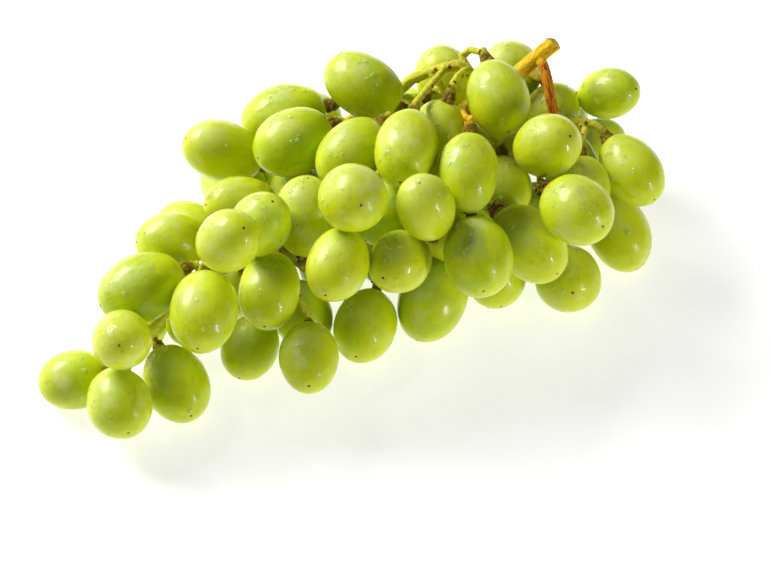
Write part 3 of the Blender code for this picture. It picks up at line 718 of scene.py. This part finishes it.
def turned_shape(profile, sides):
    """Points and triangles of a closed profile of radius and height turned round its axis."""
    around = np.linspace(0, 2 * math.pi, sides, endpoint=False)
    points = [(0.0, 0.0, profile[0][1])]
    for out, height in profile[1:-1]:
        points += [(out * math.cos(angle), out * math.sin(angle), height) for angle in around]
    points.append((0.0, 0.0, profile[-1][1]))
    top = len(points) - 1
    last = top - sides
    faces = []
    for side in range(sides):
        after = (side + 1) % sides
        faces.append((0, 1 + after, 1 + side))
        for low in range(1, last, sides):
            high = low + sides
            faces.append((low + side, low + after, high + side))
            faces.append((low + after, high + after, high + side))
        faces.append((last + side, last + after, top))
    return np.array(points), np.array(faces)


def copies(placed, faces):
    """Points and faces of copies of a shape, from the placed points of each copy."""
    start = np.arange(len(placed))[:, None, None] * placed.shape[1]
    return placed.reshape(-1, 3), (faces[None] + start).reshape(-1, 3)


def cushion_place(grape):
    """The middle of the cushion at a grape's stem end."""
    return grape.centre - grape.outward * (grape.length + CUSHION_RISE)


def stalk_cushion(grape, rng):
    """The flared cushion on which a grape sits, from the pedicel's end into the grape's stem pit."""
    size = BIG_CUSHIONS.get(grape.node, 1.0) * MM
    across, other, outward = grape.axes().T
    turn = np.array([across, -other, -outward])
    place = cushion_place(grape)
    points, faces = turned_shape(CUSHION_OUTLINE, CUSHION_SIDES)
    count = int(WARTS * (size / MM) ** 2)
    turned = rng.uniform(0, 2 * math.pi, size=count)
    share = rng.uniform(0, 1, size=count) ** WARTS_CROWDING
    out = WARTS_OUT[0] + (WARTS_OUT[1] - WARTS_OUT[0]) * share
    height = WARTS_UP[0] + (WARTS_UP[1] - WARTS_UP[0]) * share
    spots = np.stack([out * np.cos(turned), out * np.sin(turned), height], axis=1)
    return place + points * size @ turn, faces, place + spots * size @ turn


def warts_at(places, radii):
    """Points and faces of a small round wart at every place."""
    points, faces = turned_shape(WART_OUTLINE, WART_SIDES)
    return copies(places[:, None] + points[None] * radii[:, None, None], faces)


def knots_of(points, faces, rng):
    """Spots on the stalk's bark where brown pimples stand, none on the smooth main stem."""
    corners = points[faces]
    area = np.cross(corners[:, 1] - corners[:, 0], corners[:, 2] - corners[:, 0])
    area = np.linalg.norm(area, axis=1) / 2
    middle = corners.mean(axis=1)
    from_main_stem = distance_to_line(pixels_of(middle), OCHRE_LINE)
    allowed = (area > KNOT_AREA) & (from_main_stem > SMOOTH_BARK)
    chosen = rng.choice(np.nonzero(allowed)[0], size=min(KNOTS, allowed.sum()), replace=False)
    return middle[chosen]


def stalk_parts(grapes, rng):
    """The frame's stalk with a cushion under each grape and warts on it, and where its knots are."""
    mesh = node_surface("stalk")
    bmesh.ops.triangulate(mesh, faces=mesh.faces)
    mesh.verts.index_update()
    points = np.array([vert.co for vert in mesh.verts], float)
    faces = np.array([[vert.index for vert in face.verts] for face in mesh.faces])
    mesh.free()
    knots = knots_of(points, faces, rng)
    shapes = [(points, faces)]
    warts = [knots]
    for grape in grapes:
        points, faces, spots = stalk_cushion(grape, rng)
        shapes.append((points, faces))
        warts.append(spots)
    warts = np.vstack(warts)
    shapes.append(warts_at(warts, rng.uniform(*WART_RADIUS, size=len(warts))))
    return shapes, knots


def joined(shapes):
    """Points and faces of several shapes as one list each."""
    start = np.cumsum([0] + [len(points) for points, faces in shapes])
    points = np.vstack([points for points, faces in shapes])
    faces = np.vstack([faces + first for (_, faces), first in zip(shapes, start)])
    return points.tolist(), faces.tolist()


def one_skin(obj):
    """The object's mesh as one smooth skin over all its parts."""
    remesh = obj.modifiers.new("skin", "REMESH")
    remesh.mode = "VOXEL"
    remesh.voxel_size = STALK_VOXEL
    smooth = obj.modifiers.new("smooth", "SMOOTH")
    smooth.factor = 0.5
    smooth.iterations = 2
    graph = bpy.context.evaluated_depsgraph_get()
    skin = bpy.data.meshes.new_from_object(obj.evaluated_get(graph))
    obj.modifiers.clear()
    obj.data = skin
    return skin


def stalk_object(grapes, bark):
    """The whole stalk as one smooth skin, with warty cushions, knots and its cut end."""
    shapes, knots = stalk_parts(grapes, np.random.default_rng(STALK_SEED))
    points, faces = joined(shapes)
    mesh = bpy.data.meshes.new("stalk_bark")
    mesh.from_pydata(points, [], faces)
    obj = bpy.data.objects.new("stalk_bark", mesh)
    bpy.context.scene.collection.objects.link(obj)
    skin = one_skin(obj)
    roughen_bark(skin, grapes, knots)
    skin.shade_smooth()
    skin.materials.clear()
    skin.materials.append(bark)
    return obj


def distance_to_line(points, line):
    """How far each point lies from a bent line."""
    nearest = np.full(len(points), np.inf)
    for start, end in zip(line[:-1], line[1:]):
        start, end = np.array(start, float), np.array(end, float)
        along = end - start
        share = np.clip((points - start) @ along / (along @ along), 0, 1)
        nearest = np.minimum(nearest, np.linalg.norm(points - start - share[:, None] * along, axis=1))
    return nearest


def points_and_normals(mesh):
    """The mesh's points and their outward directions."""
    points = np.empty(len(mesh.vertices) * 3)
    mesh.vertices.foreach_get("co", points)
    normals = np.empty(len(mesh.vertices) * 3, np.float32)
    mesh.vertex_normals.foreach_get("vector", normals)
    return points.reshape(-1, 3), normals.reshape(-1, 3)


def cushion_darkness(points, grapes):
    """How much each point belongs to a dark cushion, from 0 to 1."""
    places = np.array([cushion_place(grape) for grape in grapes])
    near = nearest_of(points, places)
    for grape, place in zip(grapes, places):
        if grape.node in BIG_CUSHIONS:
            near = np.minimum(near, nearest_of(points, [place]) / BIG_CUSHIONS[grape.node])
    return near_share(near, CUSHION_REACH, CUSHION_FADE)


def cut_off(points, pixels):
    """The stalk's points with its tip cut along two faces, and how much each is on the cut."""
    by_tip = np.linalg.norm(pixels - CUTS[0][0], axis=1) < CUT_REACH
    cut = np.zeros(len(points))
    for place, facing in CUTS:
        beyond = ((pixels - place) @ (facing[0], -facing[1])) * PIXEL
        outward = np.array(RIGHT * facing[0] + UP * facing[1])
        points = points - (by_tip * np.maximum(beyond, 0))[:, None] * outward
        cut = np.maximum(cut, by_tip * np.clip(1 + beyond / CUT_RIM, 0, 1))
    return points, cut


def roughen_bark(mesh, grapes, knots):
    """Ridges raised on the bark, and the zones and spots that colour it."""
    points, normals = points_and_normals(mesh)
    pixels = pixels_of(points)
    dark = cushion_darkness(points, grapes)
    ochre = near_share(distance_to_line(pixels, OCHRE_LINE), OCHRE_WIDTH)
    woody = near_share(distance_to_line(pixels, WOODY_LINE), WOODY_WIDTH)
    freckled = near_share(nearest_of(points, knots), KNOT_REACH) * (dark < KNOTLESS)

    rng = np.random.default_rng(BARK_SEED)
    ridges = RIDGES[0] * smooth_lumps(points, RIDGES[1], rng)
    grit = GRIT[0] * smooth_lumps(points, GRIT[1], rng) * (1 + GRIT_ON_CUSHIONS * dark)
    points = points + normals * (ridges + grit + BARK_THICKNESS)[:, None]
    points, cut = cut_off(points, pixels)
    mesh.vertices.foreach_set("co", points.ravel())

    along, down = (np.array(RIGHT * way[0] + UP * way[1]) for way in (OCHRE_WAY, WOODY_WAY))
    way = np.where((woody > ochre)[:, None], down, along)
    grain = points - GRAIN_STRETCH * way * (points * way).sum(axis=1, keepdims=True)
    add_vectors(mesh, "zones", np.stack([ochre, woody, dark], axis=1))
    add_vectors(mesh, "spots", np.stack([freckled, cut, np.zeros(len(points))], axis=1))
    add_vectors(mesh, "place", points / MM)
    add_vectors(mesh, "grain", grain / MM)


def nearest_of(points, places):
    """How far each point is from the nearest of some places."""
    nearest = np.full(len(points), np.inf)
    for place in places:
        gaps = points - place
        nearest = np.minimum(nearest, (gaps * gaps).sum(axis=1))
    return np.sqrt(nearest)


# Water


def drop_shape(sides, rings, flatness):
    """A low dome on a closed base, one in radius, that stands on the plane."""
    lifts = [ring / rings * math.pi / 2 for ring in range(rings)]
    dome = [(math.cos(lift), flatness * math.sin(lift)) for lift in lifts]
    return turned_shape([(0, -DROP_SUNK), *dome, (0, flatness)], sides)


def facing_of(quads):
    """Outward directions of faces of four corners, and twice their areas."""
    normals = np.cross(quads[:, 2] - quads[:, 0], quads[:, 3] - quads[:, 1])
    area = np.linalg.norm(normals, axis=1)
    return normals / area[:, None], area


def spots_on(quads, count, rng):
    """Random spots on the upper skins with their outward directions, denser in wetter patches."""
    normals, area = facing_of(quads)
    middle = quads.mean(axis=1)
    upward = SPRAY_STRAY + np.clip(normals @ SPRAY, 0, 1) ** SPRAY_FOCUS
    patches = LARGE_PATCHES[0] * smooth_lumps(middle, LARGE_PATCHES[1], rng)
    patches += SMALL_PATCHES[0] * smooth_lumps(middle, SMALL_PATCHES[1], rng)
    chance = area * upward * np.clip(WETNESS + PATCH_WETNESS * patches, *WETNESS_RANGE)
    chosen = rng.choice(len(quads), size=count, p=chance / chance.sum())
    across = rng.uniform(0, 1, size=(count, 1))
    along = rng.uniform(0, 1, size=(count, 1))
    first = quads[chosen, 0] * (1 - across) + quads[chosen, 1] * across
    second = quads[chosen, 3] * (1 - across) + quads[chosen, 2] * across
    return first * (1 - along) + second * along, normals[chosen]


def spots_at(quads, pixels):
    """The spots of the nearest skin that show at these pixels, with their outward directions."""
    normals, _ = facing_of(quads)
    middle = quads.mean(axis=1)
    seen = pixels_of(middle)
    nearness = middle @ np.array(TOWARD)
    places, outward = [], []
    for pixel in pixels:
        close = np.linalg.norm(seen - pixel, axis=1) < PIXEL_REACH
        if close.any():
            best = np.nonzero(close)[0][np.argmax(nearness[close])]
            places.append(middle[best])
            outward.append(normals[best])
    return np.array(places), np.array(outward)


def drops_on(places, outward, radii, shape, rng):
    """Points and faces of one drop at every place, each a little out of round."""
    points, faces = shape
    side = np.cross(outward, rng.normal(size=outward.shape))
    side /= np.linalg.norm(side, axis=1)[:, None]
    other = np.cross(outward, side)
    stretch = rng.uniform(*DROP_STRETCH, size=len(places))[:, None, None]
    local = points[None] * radii[:, None, None]
    placed = places[:, None] + local[:, :, :1] * side[:, None] * stretch
    placed = placed + local[:, :, 1:2] * other[:, None] / stretch
    placed = placed + local[:, :, 2:] * outward[:, None]
    return copies(placed, faces)


def water_object(quads):
    """Fine dew and larger drops on the upper skins."""
    rng = np.random.default_rng(WATER_SEED)
    mist = spots_on(quads, MIST_COUNT, rng)
    sizes = rng.uniform(0, 1, size=MIST_COUNT) ** MIST_FINENESS
    radii = MIST_RADIUS[0] + (MIST_RADIUS[1] - MIST_RADIUS[0]) * sizes
    fine = drops_on(*mist, radii, drop_shape(*FINE_DROP), rng)
    some = spots_on(quads, DROP_COUNT, rng)
    seen = spots_at(quads, DROP_PIXELS)
    places = np.vstack([some[0], seen[0]])
    outward = np.vstack([some[1], seen[1]])
    radii = rng.uniform(*DROP_RADIUS, size=len(places))
    large = drops_on(places, outward, radii, drop_shape(*LARGE_DROP), rng)
    points, faces = joined([fine, large])
    mesh = bpy.data.meshes.new("water_drops")
    mesh.from_pydata(points, [], faces)
    mesh.shade_smooth()
    mesh.materials.append(water_material(*DEW_WITH_GLINTS))
    mesh.materials.append(water_material(*WATER_WITH_GLINTS))
    kinds = np.repeat([0, 1], [len(fine[1]), len(large[1])])
    mesh.polygons.foreach_set("material_index", kinds.astype(np.int32))
    obj = bpy.data.objects.new("water_drops", mesh)
    bpy.context.scene.collection.objects.link(obj)
    return obj


# Stage: the table, how much it and the surroundings glow, and the lights. A light has a name, a
# direction right, up and toward in the picture, a distance, width and height in metres, and a power.
TABLE_SIZE = 3.0
TABLE_GREY = (0.6, 0.6, 0.6)
TABLE_GLOW = 0.7
SURROUNDINGS_GLOW = 0.07
LIGHTS = (
    ("key", (-0.61, 0.76, 0.22), 1.0, 0.6, 0.45, 14.0),
    ("window", (0.76, -0.33, 0.55), 0.9, 0.10, 0.35, 2.8),
)


def add_camera():
    """The camera at the photograph's angle."""
    data = bpy.data.cameras.new("camera")
    data.sensor_width = SENSOR
    data.lens = SENSOR * VIEW_DISTANCE / (IMAGE_WIDTH * PIXEL)
    data.clip_start = CLIP[0]
    data.clip_end = CLIP[1]
    camera = bpy.data.objects.new("camera", data)
    camera.location = CAMERA_PLACE
    target = on_picture(IMAGE_WIDTH / 2, IMAGE_HEIGHT / 2)
    camera.rotation_euler = (CAMERA_PLACE - target).to_track_quat("Z", "Y").to_euler()
    bpy.context.scene.collection.objects.link(camera)
    bpy.context.scene.camera = camera


def area_light(name, direction, distance, width, height, power):
    """A soft rectangular light that faces the bunch."""
    data = bpy.data.lights.new(name, "AREA")
    data.shape = "RECTANGLE"
    data.size = width
    data.size_y = height
    data.energy = power
    light = bpy.data.objects.new(name, data)
    away = (RIGHT * direction[0] + UP * direction[1] + TOWARD * direction[2]).normalized()
    light.location = VIEW_ORIGIN + away * distance
    light.rotation_euler = away.to_track_quat("Z", "Y").to_euler()
    bpy.context.scene.collection.objects.link(light)


def table_object():
    """A wide, flat, pale table."""
    shape = bmesh.new()
    bmesh.ops.create_grid(shape, x_segments=1, y_segments=1, size=TABLE_SIZE)
    mesh = bpy.data.meshes.new("table")
    shape.to_mesh(mesh)
    shape.free()
    material, _, shader = new_material("table")
    set_inputs(shader, Base_Color=(*TABLE_GREY, 1), Roughness=0.7)
    set_inputs(shader, Emission_Color=(1, 1, 1, 1), Emission_Strength=TABLE_GLOW)
    mesh.materials.append(material)
    table = bpy.data.objects.new("table", mesh)
    bpy.context.scene.collection.objects.link(table)
    return table


def add_stage():
    """Pale table, white surroundings and studio lights."""
    table_object()
    world = bpy.data.worlds.new("surroundings")
    world.use_nodes = True
    background = world.node_tree.nodes["Background"]
    background.inputs["Color"].default_value = (1, 1, 1, 1)
    background.inputs["Strength"].default_value = SURROUNDINGS_GLOW
    bpy.context.scene.world = world
    for light in LIGHTS:
        area_light(*light)
    bpy.context.scene.view_settings.view_transform = "Standard"


def carried(piece, slot, *nodes):
    """The piece rides on the body and stands for these nodes of the frame."""
    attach(piece, "root")
    if nodes:
        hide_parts(*nodes)


def main():
    """Camera, stage, skins, water and stalk."""
    add_camera()
    add_stage()
    skin = skin_material()
    bark = bark_material()
    grapes = all_grapes()
    members = {}
    for number, grape in enumerate(grapes):
        members.setdefault(grape.node, []).append((number, grape))
    quads = []
    for node, group in members.items():
        piece, own_quads = grape_object("skin_" + node, group, skin)
        quads.append(own_quads)
        carried(piece, "grape_skin", node)
    carried(water_object(np.vstack(quads)), "grape_skin")
    carried(stalk_object(grapes, bark), "stalk_bark", "stalk")


main()
